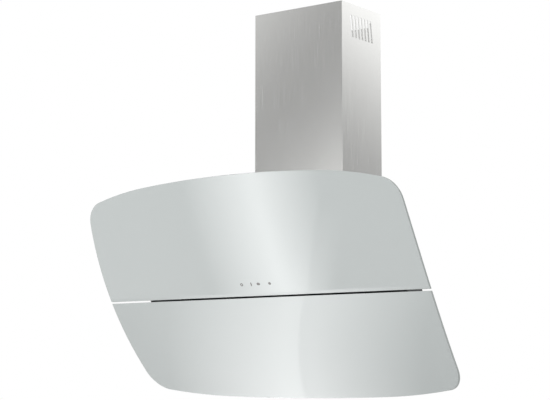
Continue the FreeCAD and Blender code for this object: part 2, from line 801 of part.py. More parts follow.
def scroll_half(name, side):
    """One moulded half of the blower housing, with its inlet and screw bosses."""
    half = Piece(name)
    outer, wall = S.scroll_half + S.scroll_wall, S.scroll_wall
    corners, arcs = scroll_outline(wall)
    half.pad("YZ_Plane", corners, outer, arcs, 0 if side > 0 else -outer, both=False)
    for y, z in boss_spots():
        half.rod("x", (mirrored(side, 0, S.boss_length)[0], y, z), S.boss_radius, S.boss_length)
    corners, arcs = scroll_outline(0)
    reach = S.scroll_half if side > 0 else 1
    half.pad("YZ_Plane", corners, S.scroll_half + 1, arcs, reach, both=False, cut=True)
    half.box(mirrored(side, -1, S.scroll_half),
             (S.scroll_wall - S.duct_lean_out, S.scroll_radius + 3 * S.scroll_step),
             (duct_top - 1, duct_top + 1), cut=True)
    half.rod("x", (mirrored(side, outer - 2 * wall, outer + 1)[0], 0, 0), S.inlet_radius,
             2 * wall + 1, cut=True)
    for y, z in boss_spots():
        half.rod("x", (-2 * S.boss_length, y, z), S.screw_radius + S.screw_slack,
                 4 * S.boss_length, cut=True)
    keep(half.place(y=blower_y, z=blower_z))


def scroll_screws():
    screws = Piece("scroll_screws")
    for y, z in boss_spots():
        screws.rod("x", (-S.boss_length + 1, y, z), S.screw_radius, 2 * S.boss_length - 1)
        screws.rod("x", (S.boss_length, y, z), S.screw_head, S.screw_head / 2)
    keep(screws.place(y=blower_y, z=blower_z))


def impeller():
    """A double-width wheel: centre disc, hub, two end rings and a ring of bent blades."""
    wheel = Piece("impeller")
    outer, inner = S.impeller_radius, S.impeller_radius - S.blade_depth
    half, disc = S.impeller_half, S.disc_thick
    for side in (-1, 1):
        wheel.rod("x", (mirrored(side, half - disc, half)[0], 0, 0), outer, disc)
    wheel.rod("x", (-half - 1, 0, 0), inner, 2 * half + 2, cut=True)
    wheel.rod("x", (-disc / 2, 0, 0), outer, disc)
    wheel.rod("x", (-disc, 0, 0), S.hub_radius, S.hub_length)
    bend = S.blade_depth
    thick = S.blade_thick
    root_end, tip_end = (inner + 0.2, 0), (outer - 0.2, 4)
    middle = (inner + 2, bend)
    blade = wheel.pad("YZ_Plane", [
        root_end, tip_end, (tip_end[0] - thick / 2, tip_end[1] + thick),
        (root_end[0], root_end[1] + thick)], 2 * half,
        {0: Arc(middle, bend, "radius"), 2: Arc(middle, bend - thick, "radius")})
    ring = wheel.feature("PolarPattern")
    ring.Originals = [blade]
    axle = [f for f in wheel.body.Origin.OriginFeatures if f.Role == "X_Axis"][0]
    ring.Axis = (axle, [""])
    ring.Angle = 360
    bind(ring, "Occurrences", S.blade_count)
    wheel.body.Tip = ring
    wheel.rod("x", (-2 * S.hub_length, 0, 0), S.shaft_radius, 4 * S.hub_length, cut=True)
    keep(wheel.place(y=blower_y, z=blower_z))


def motor_and_shaft():
    """The motor inside the wheel's left half; the shaft turns with the wheel."""
    motor = Piece("motor")
    near, far = S.motor_near, S.motor_near + S.motor_length
    motor.rod("x", (-far, 0, 0), S.motor_radius, S.motor_length)
    motor.rod("x", (-near - 0.1, 0, 0), S.hub_radius, 3)
    motor.rod("x", (-far - 20, 0, 0), S.shaft_radius + S.shaft_gap, S.motor_length + 40, cut=True)
    keep(motor.place(y=blower_y, z=blower_z))

    shaft = Piece("motor_shaft")
    shaft.rod("x", (-far - 3, 0, 0), S.shaft_radius, far + 3 + S.hub_length)
    keep(shaft.place(y=blower_y, z=blower_z))

    bracket = Piece("motor_bracket")
    outer = S.scroll_half + S.scroll_wall
    thick = S.bracket_thick
    bracket.rod("x", (-outer - thick, 0, 0), S.bush_circle + S.bush_radius, thick)
    arm = bracket.pad("YZ_Plane", [
        (-S.arm_half, 0), (S.arm_half, 0), (S.arm_half, S.inlet_radius + 8),
        (-S.arm_half, S.inlet_radius + 8)], thick, None, -outer - thick, both=False)
    turns = bracket.feature("PolarPattern")
    turns.Originals = [arm]
    axle = [f for f in bracket.body.Origin.OriginFeatures if f.Role == "X_Axis"][0]
    turns.Axis = (axle, [""])
    turns.Angle = 360
    turns.Occurrences = 3
    bracket.body.Tip = turns
    keep(bracket.place(y=blower_y, z=blower_z))

    bushes = Piece("motor_bushes")
    for turn in (90, 210, 330):
        y = S.bush_circle * math.cos(math.radians(turn))
        z = S.bush_circle * math.sin(math.radians(turn))
        bushes.rod("x", (-outer, y, z), S.bush_radius, outer - far)
    keep(bushes.place(y=blower_y, z=blower_z))


# Wiring inside the housing ---------------------------------------------------------

def wiring():
    inner = housing_half - S.sheet_thick
    box = Piece("control_box")
    box.box((-inner, S.box_wide - inner), (-S.box_deep, -S.box_back), span(S.box_level, S.box_half))
    keep(box)
    lid = Piece("control_lid")
    lid.box((S.box_wide - inner, S.box_wide - inner + 2), (-S.box_deep - 2, -S.box_back + 2),
            span(S.box_level, S.box_half + 2))
    keep(lid)
    can = Piece("capacitor")
    can.rod("z", (inner - S.can_out, -S.box_deep, S.box_level - S.box_half), S.can_radius,
            S.can_height)
    keep(can)
    clip = Piece("capacitor_clip")
    clip.box((inner - S.can_out + S.can_radius - 1, inner), span(-S.box_deep, 8),
             (S.box_level - S.box_half + 20, S.box_level - S.box_half + 32))
    clip.rod("z", (inner - S.can_out, -S.box_deep, S.box_level - S.box_half + 20),
             S.can_radius + 1.5, 12)
    clip.rod("z", (inner - S.can_out, -S.box_deep, S.box_level - S.box_half), S.can_radius,
             S.can_height, cut=True)
    keep(clip)
    gland = Piece("cable_gland")
    x, y = S.gland_across, -S.gland_reach
    gland.rod("z", (x, y, housing_top), S.gland_radius + 4, 5)
    gland.rod("z", (x, y, housing_top - 8), S.gland_radius - 0.3, 22)
    gland.rod("z", (x, y, housing_top - S.sheet_thick - 4), S.gland_radius + 4, 4)
    gland.rod("z", (x, y, housing_top - 20), S.gland_radius - 3.5, 60, cut=True)
    keep(gland)


# Outlet, flaps and chimney ----------------------------------------------------------

flap_z = housing_top + S.flap_level


def outlet_collar():
    """The round spigot for the duct, with the flaps' four bearing holes."""
    collar = Piece("outlet_collar")
    collar.rod("z", (0, collar_y, housing_top), S.collar_radius + S.collar_flange, S.collar_wall)
    collar.rod("z", (0, collar_y, housing_top), collar_outside, S.collar_height)
    collar.rod("z", (0, collar_y, housing_top - 1), collar_inside, S.collar_height + 2, cut=True)
    for side in (-1, 1):
        collar.rod("x", (-2 * S.collar_radius, collar_y + side * S.flap_axis, flap_z),
                   S.journal_radius + S.shaft_gap, 4 * S.collar_radius, cut=True)
    keep(collar)


def flap(name, side):
    """A half-round flap with a journal rod along its straight side."""
    leaf = Piece(name)
    leaf.rod("z", (0, collar_y, flap_z - S.flap_thick / 2), collar_inside - S.flap_gap,
             S.flap_thick)
    far = S.collar_radius * 2
    away = (collar_y - far, collar_y + 1) if side > 0 else (collar_y - 1, collar_y + far)
    leaf.box(both_ways(far), away, span(flap_z, 5), cut=True)
    half = collar_outside - 1
    leaf.rod("x", (-half, collar_y + side * S.flap_axis, flap_z), S.journal_radius, 2 * half)
    keep(leaf)


def chimney_cover():
    """A folded channel: front, two vented sides and a lip each side at the wall."""
    cover = Piece("chimney_cover")
    half, deep, wall = S.chimney_width / 2, S.chimney_depth, S.sheet_thick
    top = S.slot_level + S.chimney_top
    cover.box(both_ways(half), (-deep, 0), (housing_top, top))
    cover.box(both_ways(half - wall), (wall - deep, -wall), (housing_top - 1, top + 1), cut=True)
    cover.box(both_ways(half - S.chimney_lip), (-deep / 2, 1), (housing_top - 1, top + 1), cut=True)
    slot_top = top - S.vent_below_top
    slot_low = slot_top - S.vent_height
    first = -deep / 2 - (S.vent_count - 1) * S.vent_pitch / 2
    left, right = first - S.vent_width / 2, first + S.vent_width / 2
    slant = S.vent_lean / 2
    vent = cover.pad("YZ_Plane", [
        (left - slant, slot_top), (left + slant, slot_low),
        (right + slant, slot_low), (right - slant, slot_top)], 4 * half, cut=True)
    row = cover.feature("LinearPattern")
    row.Originals = [vent]
    row.Direction = (vent.Profile[0], ["H_Axis"])
    row.Mode = "Spacing"
    bind(row, "Offset", S.vent_pitch)
    bind(row, "Occurrences", S.vent_count)
    cover.body.Tip = row
    keep(cover)


def chimney_bracket():
    """The wall bracket that holds the cover's lips and sides near its top."""
    bracket = Piece("chimney_bracket")
    wall = S.sheet_thick
    half = S.chimney_width / 2 - wall - S.seat_gap
    middle = S.slot_level + S.chimney_top - S.bracket_below
    heights = span(middle, S.bracket_tall / 2)
    plate_half = S.chimney_width / 2 - S.chimney_lip - S.seat_gap
    bracket.box(both_ways(plate_half), (-S.bracket_thick, 0), heights)
    for side in SIDES.values():
        bracket.box(mirrored(side, plate_half - 4, half),
                    (-S.bracket_thick - 1, -wall - S.seat_gap), heights)
        bracket.box(mirrored(side, half - 1.5, half), (-45, -wall - S.seat_gap), heights)
    for side in SIDES.values():
        bracket.rod("y", (side * S.bracket_hole_across / 2, -2 * S.bracket_thick, middle),
                    S.bracket_hole_radius, 4 * S.bracket_thick, cut=True)
    keep(bracket)


def chimney_clips():
    """Two angles on the housing's top that the cover's front drops over."""
    clips = Piece("chimney_clips")
    front = S.sheet_thick + S.seat_gap - S.chimney_depth
    for side in SIDES.values():
        across = span(side * S.clip_half, 12)
        clips.box(across, (front, front + 1.5), (housing_top, housing_top + 22))
        clips.box(across, (front, front + 14), (housing_top, housing_top + 1.5))
    keep(clips)


# Build ----------------------------------------------------------------------------

glass_panels()
front_casing()
casing_back()
filter_rim()
filter_frame()
filter_latch()
latch_cover()
filter_grille()
for word, hand in SIDES.items():
    upper_rib(f"upper_rib_{word}", hand)
    door_rail(f"door_rail_{word}", hand)
    hinge_bracket(f"hinge_bracket_{word}", hand)
    scroll_half(f"scroll_{word}", hand)
rib_screws()
door_crossbar()
hinge_pins()
magnet_catches()
control_housing()
touch_board()
rear_housing()
back_plate()
lamps()
scroll_screws()
impeller()
motor_and_shaft()
wiring()
outlet_collar()
flap("flap_front", -1)
flap("flap_rear", 1)
chimney_cover()
chimney_bracket()
chimney_clips()
doc.recompute()

for item in doc.Objects:
    if {"Invalid", "Error"} & set(item.State):
        raise RuntimeError(f"{item.Label} failed: {item.State}")
for part in KEPT:
    if part.Shape.isNull() or not part.Shape.isValid():
        raise RuntimeError(f"{part.Label} has no valid shape")

os.makedirs("parts", exist_ok=True)
for part in KEPT:
    part.Shape.exportStep(os.path.join("parts", f"{part.Label}.step"))
print(len(KEPT), "sub-parts")
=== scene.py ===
"""Looks for an angled glass range hood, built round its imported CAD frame."""

import math

import bmesh
import bpy
from mathutils import Matrix, Vector


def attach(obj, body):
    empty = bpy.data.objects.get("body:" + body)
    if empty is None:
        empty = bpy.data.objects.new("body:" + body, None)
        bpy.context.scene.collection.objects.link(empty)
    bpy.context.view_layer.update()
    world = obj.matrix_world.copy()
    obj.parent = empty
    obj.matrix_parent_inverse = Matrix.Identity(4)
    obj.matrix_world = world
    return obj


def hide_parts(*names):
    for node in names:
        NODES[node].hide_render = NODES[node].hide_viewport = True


bl_info = {
    "name": "Angled glass range hood",
    "version": (1, 0, 0),
    "blender": (4, 5, 0),
    "location": "View3D > Sidebar > Hood",
    "description": "Finishes, glass panels and a studio for an angled glass range hood",
    "category": "Add Mesh",
}

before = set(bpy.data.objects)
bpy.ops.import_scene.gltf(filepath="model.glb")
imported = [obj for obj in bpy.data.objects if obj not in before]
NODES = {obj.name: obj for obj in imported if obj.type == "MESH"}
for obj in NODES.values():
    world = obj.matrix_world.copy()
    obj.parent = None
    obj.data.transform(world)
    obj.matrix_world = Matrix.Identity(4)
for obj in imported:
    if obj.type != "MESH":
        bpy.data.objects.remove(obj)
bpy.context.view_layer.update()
MM = 0.001


# Shader maths -----------------------------------------------------------------------

class Wire:
    """A socket that carries a number; arithmetic on it adds Math nodes."""

    def __init__(self, paint, socket):
        self.paint = paint
        self.socket = socket

    def _math(self, operation, *values):
        return self.paint.add("ShaderNodeMath", {"operation": operation}, dict(enumerate(values)))

    def __add__(self, other):
        return self._math("ADD", self, other)

    def __sub__(self, other):
        return self._math("SUBTRACT", self, other)

    def __rsub__(self, other):
        return self._math("SUBTRACT", other, self)

    def __mul__(self, other):
        return self._math("MULTIPLY", self, other)

    def __pow__(self, other):
        return self._math("POWER", self, other)

    def __lt__(self, other):
        return self._math("LESS_THAN", self, other)


class Paint:
    """A node material; its shader's sockets are set or wired by name."""

    def __init__(self, name):
        self.material = bpy.data.materials.new(name)
        self.material.use_nodes = True
        self.tree = self.material.node_tree
        self.shader = self.tree.nodes["Principled BSDF"]

    def add(self, kind, settings=None, inputs=None, output=0):
        node = self.tree.nodes.new(kind)
        for key, value in (settings or {}).items():
            if key == "stops":
                ramp = node.color_ramp
                while len(ramp.elements) < len(value):
                    ramp.elements.new(1.0)
                for element, (position, colour) in zip(ramp.elements, value):
                    element.position = position
                    element.color = colour
            else:
                setattr(node, key, value)
        for key, value in (inputs or {}).items():
            self.feed(node.inputs[key], value)
        return Wire(self, node.outputs[output])

    def feed(self, socket, value):
        if isinstance(value, Wire):
            self.tree.links.new(value.socket, socket)
        else:
            socket.default_value = value

    def surface(self, **sockets):
        """Set the shader's sockets; Base_Color stands for 'Base Color'."""
        for key, value in sockets.items():
            if key.endswith("Color") and not isinstance(value, Wire):
                value = (*value[:3], 1.0)
            self.feed(self.shader.inputs[key.replace("_", " ")], value)
        return self

    def place(self):
        """The point on the object, in metres in its own frame."""
        return self.add("ShaderNodeTexCoord", output="Object")

    def axes(self):
        split = self.add("ShaderNodeSeparateXYZ", None, {0: self.place()})
        return [Wire(self, out) for out in split.socket.node.outputs]

    def scaled(self, x, y, z):
        return self.add("ShaderNodeMapping", None, {"Vector": self.place(), "Scale": (x, y, z)})

    def noise(self, scale, detail=3.0, rough=0.5, vector=None):
        return self.add("ShaderNodeTexNoise", None, {
            "Vector": vector or self.place(), "Scale": scale, "Detail": detail,
            "Roughness": rough})

    def cells(self, scale, feature="F1", output="Distance", vector=None):
        return self.add("ShaderNodeTexVoronoi", {"feature": feature}, {
            "Vector": vector or self.place(), "Scale": scale}, output)

    def between(self, wire, low, high, start=0.0, end=1.0):
        """Map a wire's start..end to low..high, held at both ends."""
        return self.add("ShaderNodeMapRange", {"interpolation_type": "LINEAR"}, {
            "Value": wire, "From Min": start, "From Max": end,
            "To Min": low, "To Max": high})

    def soft(self, wire, start, end):
        return self.add("ShaderNodeMapRange", {"interpolation_type": "SMOOTHSTEP"}, {
            "Value": wire, "From Min": start, "From Max": end})

    def mix(self, factor, first, second):
        """Blend two colours."""
        node = self.add("ShaderNodeMix", {"data_type": "RGBA"}, {"Factor": factor}).socket.node
        for key, value in ((6, first), (7, second)):
            if not isinstance(value, Wire):
                value = (*value[:3], 1.0)
            self.feed(node.inputs[key], value)
        return Wire(self, node.outputs[2])

    def bump(self, height, distance, strength=0.5):
        self.surface(Normal=self.add("ShaderNodeBump", None, {
            "Height": height, "Distance": distance, "Strength": strength}))
        return self


def tint(colour, factor):
    return tuple(channel * factor for channel in colour[:3])


# Finishes ---------------------------------------------------------------------------

def brushed(name, colour, rough=0.22, grain=(1500, 1500, 12), depth=0.000004, spread=0.02):
    """Metal with fine drawn lines along one axis."""
    paint = Paint(name)
    lines = paint.noise(1.0, 4.0, 0.6, paint.scaled(*grain))
    broad = paint.noise(3.0, 2.0)
    shade = paint.between(lines * 0.7 + broad * 0.3, 1 - spread, 1 + spread, 0.35, 0.65)
    paint.surface(
        Base_Color=paint.mix(paint.between(shade, 0, 1, 1 - spread, 1 + spread),
                             tint(colour, 1 - spread), tint(colour, 1 + spread)),
        Metallic=1.0, Roughness=paint.between(lines, rough - 0.05, rough + 0.06, 0.3, 0.7))
    return paint.bump(lines, depth, 0.25).material


def zinc(name, colour, rough=0.34):
    """Bright zinc plating: clouded, slightly blotched metal."""
    paint = Paint(name)
    cloud = paint.noise(55.0, 4.0, 0.6)
    fine = paint.noise(900.0, 2.0)
    paint.surface(
        Base_Color=paint.mix(paint.between(cloud, 0, 1, 0.35, 0.65), tint(colour, 0.86),
                             tint(colour, 1.06)),
        Metallic=1.0, Roughness=paint.between(cloud, rough - 0.08, rough + 0.1, 0.3, 0.7))
    return paint.bump(fine, 0.00002, 0.2).material


def galvanised(name, colour):
    """Hot-dipped sheet with faint spangles."""
    paint = Paint(name)
    flakes = paint.cells(70.0, output="Color")
    tone = paint.add("ShaderNodeSeparateXYZ", None, {0: flakes})
    haze = paint.noise(9.0, 3.0)
    paint.surface(
        Base_Color=paint.mix(paint.between(tone, 0.25, 0.75) * 0.7 + haze * 0.3,
                             tint(colour, 0.82), tint(colour, 1.1)),
        Metallic=0.85, Roughness=paint.between(tone, 0.36, 0.52))
    return paint.bump(tone, 0.00003, 0.15).material


def powder_coat(name, colour, rough=0.42, grain=1400.0):
    """Oven-baked powder paint: orange peel and a faint sparkle."""
    paint = Paint(name)
    peel = paint.noise(grain, 2.0)
    drift = paint.noise(6.0, 2.0)
    paint.surface(
        Base_Color=paint.mix(drift, tint(colour, 0.85), tint(colour, 1.2)),
        Roughness=paint.between(peel, rough - 0.07, rough + 0.07, 0.3, 0.7))
    return paint.bump(peel, 0.00006, 0.3).material


def moulded(name, colour, rough=0.5, grain=1800.0):
    """Injection-moulded plastic with a fine spark-eroded grain."""
    paint = Paint(name)
    grains = paint.cells(grain)
    flow = paint.noise(14.0, 3.0)
    paint.surface(
        Base_Color=paint.mix(flow, tint(colour, 0.9), tint(colour, 1.12)),
        Roughness=paint.between(flow, rough - 0.06, rough + 0.06, 0.3, 0.7))
    return paint.bump(grains, 0.00004, 0.35).material


def rubber(name, colour):
    paint = Paint(name)
    bloom = paint.noise(120.0, 3.0)
    paint.surface(Base_Color=paint.mix(bloom, colour, tint(colour, 2.2)),
                  Roughness=paint.between(bloom, 0.66, 0.86, 0.3, 0.7))
    return paint.bump(bloom, 0.00008, 0.3).material


def cast(name, colour):
    """Die-cast alloy: a fine pebbled skin."""
    paint = Paint(name)
    skin = paint.noise(700.0, 4.0, 0.7)
    paint.surface(Base_Color=paint.mix(skin, tint(colour, 0.85), tint(colour, 1.1)),
                  Metallic=1.0, Roughness=paint.between(skin, 0.4, 0.62, 0.3, 0.7))
    return paint.bump(skin, 0.00008, 0.4).material


def chromed(name, colour):
    paint = Paint(name)
    haze = paint.noise(40.0, 2.0)
    paint.surface(Base_Color=paint.mix(haze, tint(colour, 0.96), tint(colour, 1.04)),
                  Metallic=1.0, Roughness=paint.between(haze, 0.05, 0.12, 0.3, 0.7))
    return paint.material


def frosted(name, colour):
    """Etched lamp glass: pale, soft and a little see-through."""
    paint = Paint(name)
    etch = paint.noise(1500.0, 2.0)
    paint.surface(Base_Color=paint.mix(etch, tint(colour, 0.97), tint(colour, 1.02)),
                  Roughness=paint.between(etch, 0.3, 0.45, 0.3, 0.7), Alpha=0.85)
    return paint.bump(etch, 0.00004, 0.4).material


def circuit_board(name, colour):
    """Green solder mask with lighter tracks beneath it."""
    paint = Paint(name)
    rows = paint.add("ShaderNodeTexWave", {"wave_type": "BANDS", "bands_direction": "X"}, {
        "Vector": paint.place(), "Scale": 90.0, "Distortion": 3.0, "Detail": 2.0}, "Fac")
    tracks = paint.soft(rows, 0.62, 0.7)
    paint.surface(Base_Color=paint.mix(tracks, colour, tint(colour, 1.7)),
                  Roughness=paint.between(tracks, 0.35, 0.25))
    return paint.bump(tracks, 0.00003, 0.4).material


def silvered_glass(name, colour, edge_colour, axis, outside, thick):
    """Clear glass over a pale silver back paint; ground edges show the glass itself."""
    paint = Paint(name)
    x, y, z = paint.axes()
    radius = ((y - axis[0]) * (y - axis[0]) + (z - axis[1]) * (z - axis[1])) ** 0.5
    behind = paint.soft(outside - radius, 0.12 * MM, 0.3 * MM)
    rear = radius < (outside - thick + 0.05 * MM)
    ground = behind - behind * rear
    drift = paint.noise(2.2, 2.0)
    flake = paint.cells(2600.0, output="Color")
    grain = paint.add("ShaderNodeSeparateXYZ", None, {0: flake})
    silver = paint.mix(drift * 0.5 + grain * 0.5, tint(colour, 0.985), tint(colour, 1.015))
    paint.surface(
        Base_Color=paint.mix(ground, silver, edge_colour),
        Roughness=paint.between(ground, 0.035, 0.3) + rear * 0.4,
        IOR=1.5)
    return paint.material


# Meshes -----------------------------------------------------------------------------

def object_of(name, shape, material):
    """Link an object made of a bmesh, which is freed."""
    mesh = bpy.data.meshes.new(name)
    shape.to_mesh(mesh)
    shape.free()
    mesh.materials.append(material)
    made = bpy.data.objects.new(name, mesh)
    bpy.context.scene.collection.objects.link(made)
    return made


def piece(name, shape, material, body, replaced=(), smooth_angle=35):
    """Make a visible piece of a bmesh, and say what it rides on."""
    made = object_of(name, shape, material)
    made.data.shade_smooth()
    made.data.set_sharp_from_angle(angle=math.radians(smooth_angle))
    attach(made, body)
    if replaced:
        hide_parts(*replaced)
    return made


def copied(node):
    """A merged copy of a CAD node's mesh."""
    shape = bmesh.new()
    shape.from_mesh(NODES[node].data)
    bmesh.ops.remove_doubles(shape, verts=shape.verts, dist=0.01 * MM)
    return shape


def dress(material, *nodes):
    """Give CAD nodes a finish."""
    for node in nodes:
        slots = NODES[node].data.materials
        slots.clear()
        slots.append(material)


# Settings ---------------------------------------------------------------------------

def colour_setting(name, description, default):
    return bpy.props.FloatVectorProperty(
        name=name, description=description, subtype="COLOR", size=3, min=0, max=1,
        default=default)


def length_setting(name, description, default):
    return bpy.props.FloatProperty(
        name=name, description=description, subtype="DISTANCE", unit="LENGTH", default=default)


class HoodFinishes(bpy.types.PropertyGroup):
    """Colours that a user would change."""

    glass: colour_setting("Glass", "Back paint seen through the glass", (0.50, 0.53, 0.525))
    glass_edge: colour_setting("Glass edge", "Ground edge of the glass", (0.36, 0.385, 0.375))
    stainless: colour_setting("Stainless", "Chimney cover", (0.75, 0.75, 0.735))
    casing: colour_setting("Casing", "Powder coat behind the glass", (0.030, 0.030, 0.031))
    housing: colour_setting("Housing", "Motor housing sheet", (0.60, 0.61, 0.61))
    zinc: colour_setting("Zinc", "Ribs, rails and brackets", (0.62, 0.63, 0.64))
    filter: colour_setting("Filter", "Grease filter", (0.72, 0.73, 0.74))
    black: colour_setting("Black plastic", "Latch, catches and control parts",
                          (0.022, 0.022, 0.024))
    grey: colour_setting("Grey plastic", "Blower and collar", (0.11, 0.115, 0.12))
    mark: colour_setting("Touch mark", "Print of the touch controls", (0.15, 0.145, 0.14))


class HoodSizes(bpy.types.PropertyGroup):
    """Sizes that a user would change."""

    bend_radius: length_setting("Bend radius", "Outside of the bent glass", 1.165)
    glass_thick: length_setting("Glass thickness", "Thickness of each panel", 0.006)
    edge_bevel: length_setting("Edge bevel", "Ground bevel round the glass", 0.0008)
    slot_reach: length_setting("Slot reach", "Front of the glass at the slot", 0.321)
    slot_level: length_setting("Slot level", "Height of the slot", -0.030)
    slot_narrowing: length_setting("Slot narrowing", "How far each panel closes the slot", 0.001)
    mark_level: length_setting("Mark level", "Height of the touch marks", -0.0022)
    floor_level: length_setting("Floor level", "Height of the studio floor", -1.35)


# Colours of small pieces that a user would leave as they are
BRACKET_WHITE = (0.86, 0.86, 0.85)
SOLDER_GREEN = (0.02, 0.10, 0.05)
CAN_WHITE = (0.72, 0.72, 0.69)
MOTOR_GREY = (0.09, 0.092, 0.10)
RUBBER_BLACK = (0.012, 0.012, 0.012)
CHROME = (0.80, 0.80, 0.81)
ETCHED_GLASS = (0.88, 0.88, 0.85)
CAST_ALLOY = (0.50, 0.51, 0.52)
# The slot's place on the bend, half its height in the frame, and the slack in finding it
SLOT_ANGLE = math.radians(31.1)
SLOT_HALF = 3 * MM
SLOT_SLACK = 0.1 * MM
# How finely the panels are bent, and how their faces and edges are told apart
BEND_SPAN = math.radians(60)
STRIP_ANGLE = math.radians(0.3)
RIM_ANGLE = math.radians(30)
FLAT_ANGLE = math.radians(0.1)
CUT_SLACK = 0.002 * MM
CHORD_ERROR = 0.2 * MM
BROAD_FACE = 0.995
PANEL_SMOOTH = 20
# Middle, half width, half height and share left open of each touch mark, in mm
TOUCH_MARKS = ((-36.5, 4.0, 3.4, 0.4), (-9.3, 1.7, 4.6, 0), (11.0, 4.8, 3.0, 0),
               (42.8, 3.8, 3.0, 0))
PRINT_OFF = 0.03 * MM
PRINT_THICK = 0.04 * MM
# The studio: its floor, and the reach and parting line of the glass cards
FLOOR_RADIUS = 9.0
FLOOR_FADE = (1.2, 4.5)
CARD_RADIUS = 1.9
CARD_ENDS = (-2.6, 1.2)
CARD_PARTING = 41.2
# Name, spot, point aimed at, size and watts of each soft light
SOFTBOXES = (("key_softbox", (-1.9, -2.6, 1.9), (0, -0.2, 0.1), 1.6, 34),
             ("fill_softbox", (2.6, -2.2, 0.9), (0, -0.2, 0.1), 1.8, 16),
             ("low_softbox", (-0.4, -2.2, -1.0), (0, -0.3, -0.1), 1.2, 8))
# The camera as fitted to the photograph; its focal length in pixels of the picture's width
CAMERA_SPOT = (2.0869, -3.0724, -0.2234)
CAMERA_TURN = math.radians(36.57)
CAMERA_LIFT = math.radians(6.84)
FOCAL_PIXELS = 1524.2
PICTURE_PIXELS = 550
SENSOR_WIDTH = 36.0


def bend_axis(sizes):
    """The y and z of the line that both glass panels are bent about."""
    return (sizes.bend_radius * math.cos(SLOT_ANGLE) - sizes.slot_reach,
            sizes.slot_level + sizes.bend_radius * math.sin(SLOT_ANGLE))


# Operators --------------------------------------------------------------------------

class HoodOperator(bpy.types.Operator):
    """One step of the dressing of the hood"""

    bl_idname = "hood.step"
    bl_label = "Hood step"
    bl_options = {"REGISTER", "UNDO"}

    def execute(self, context):
        self.make(context.scene.hood_finishes, context.scene.hood_sizes)
        return {"FINISHED"}


class HOOD_OT_glass(HoodOperator):
    """Put both bent glass panels in place, with ground edges"""

    bl_idname = "hood.glass"
    bl_label = "Glass panels"

    def make(self, finishes, sizes):
        silver = silvered_glass("back_painted_glass", finishes.glass, finishes.glass_edge,
                                bend_axis(sizes), sizes.bend_radius, sizes.glass_thick)
        for node, body in (("upper_glass", "hood"), ("lower_glass", "door")):
            shape = copied(node)
            self.narrow_slot(shape, sizes)
            bmesh.ops.dissolve_limit(shape, angle_limit=FLAT_ANGLE, verts=shape.verts,
                                     edges=shape.edges)
            rim = [edge for edge in shape.edges if edge.is_manifold
                   and edge.calc_face_angle() > RIM_ANGLE]
            bmesh.ops.bevel(shape, geom=rim, offset=sizes.edge_bevel, segments=2,
                            profile=0.5, affect="EDGES", material=-1, clamp_overlap=True)
            self.bend_finely(shape, sizes)
            panel = piece(f"{node}_panel", shape, silver, body, [node],
                          PANEL_SMOOTH)
            self.true_normals(panel.data, sizes)

    @staticmethod
    def narrow_slot(shape, sizes):
        """Bring the panel's edge at the slot nearer to the other panel, along the bend."""
        y0, z0 = bend_axis(sizes)
        for vert in shape.verts:
            off_slot = vert.co.z - sizes.slot_level
            if abs(off_slot) < SLOT_HALF + SLOT_SLACK:
                radius = math.hypot(vert.co.y - y0, vert.co.z - z0)
                vert.co.z -= math.copysign(sizes.slot_narrowing, off_slot)
                vert.co.y = y0 - math.sqrt(radius ** 2 - (vert.co.z - z0) ** 2)

    @staticmethod
    def bend_finely(shape, sizes):
        """Cut the sheet into narrow strips and set its two faces on the true bend."""
        y0, z0 = bend_axis(sizes)
        for count in range(int(BEND_SPAN / STRIP_ANGLE)):
            angle = count * STRIP_ANGLE
            bmesh.ops.bisect_plane(
                shape, geom=[*shape.verts, *shape.edges, *shape.faces], dist=CUT_SLACK,
                plane_co=(0, y0, z0), plane_no=(0, math.sin(angle), -math.cos(angle)))
        for vert in shape.verts:
            off = Vector((0, vert.co.y - y0, vert.co.z - z0))
            for wanted in (sizes.bend_radius, sizes.bend_radius - sizes.glass_thick):
                if abs(off.length - wanted) < CHORD_ERROR:
                    vert.co += off.normalized() * (wanted - off.length)

    @staticmethod
    def true_normals(mesh, sizes):
        """Shade the two broad faces by the bend itself, so that reflections run true."""
        y0, z0 = bend_axis(sizes)
        normals = [corner.vector.copy() for corner in mesh.corner_normals]
        for face in mesh.polygons:
            out = Vector((0, face.center.y - y0, face.center.z - z0)).normalized()
            facing = face.normal.dot(out)
            if abs(facing) < BROAD_FACE:
                continue
            for corner in face.loop_indices:
                spot = mesh.vertices[mesh.loops[corner].vertex_index].co
                out = Vector((0, spot.y - y0, spot.z - z0)).normalized()
                normals[corner] = out if facing > 0 else -out
        mesh.normals_split_custom_set(normals)


class HOOD_OT_touch_marks(HoodOperator):
    """Print the four touch marks on the upper glass"""

    bl_idname = "hood.touch_marks"
    bl_label = "Touch marks"

    def make(self, finishes, sizes):
        ink = Paint("touch_print")
        wear = ink.noise(900.0, 3.0)
        ink.surface(Base_Color=ink.mix(wear, tint(finishes.mark, 0.8), tint(finishes.mark, 1.3)),
                    Roughness=ink.between(wear, 0.35, 0.5))
        axis = bend_axis(sizes)
        shape = bmesh.new()
        for middle, half_wide, half_tall, hole in TOUCH_MARKS:
            done = set(shape.verts)
            ring = bmesh.ops.create_circle(shape, cap_ends=True, segments=32, radius=1.0)["verts"]
            face = ring[0].link_faces[0]
            if hole:
                bmesh.ops.inset_individual(shape, faces=[face], thickness=1 - hole)
                bmesh.ops.delete(shape, geom=[face], context="FACES_ONLY")
            for vert in set(shape.verts) - done:
                vert.co = Vector((middle * MM + vert.co.x * half_wide * MM, 0,
                                  sizes.mark_level + vert.co.y * half_tall * MM))
        bmesh.ops.recalc_face_normals(shape, faces=shape.faces)
        for vert in shape.verts:
            drop = vert.co.z - axis[1]
            vert.co.y = axis[0] - math.sqrt(sizes.bend_radius ** 2 - drop ** 2) - PRINT_OFF
        bmesh.ops.solidify(shape, geom=shape.faces, thickness=PRINT_THICK)
        bmesh.ops.recalc_face_normals(shape, faces=shape.faces)
        piece("touch_marks", shape, ink.material, "hood")


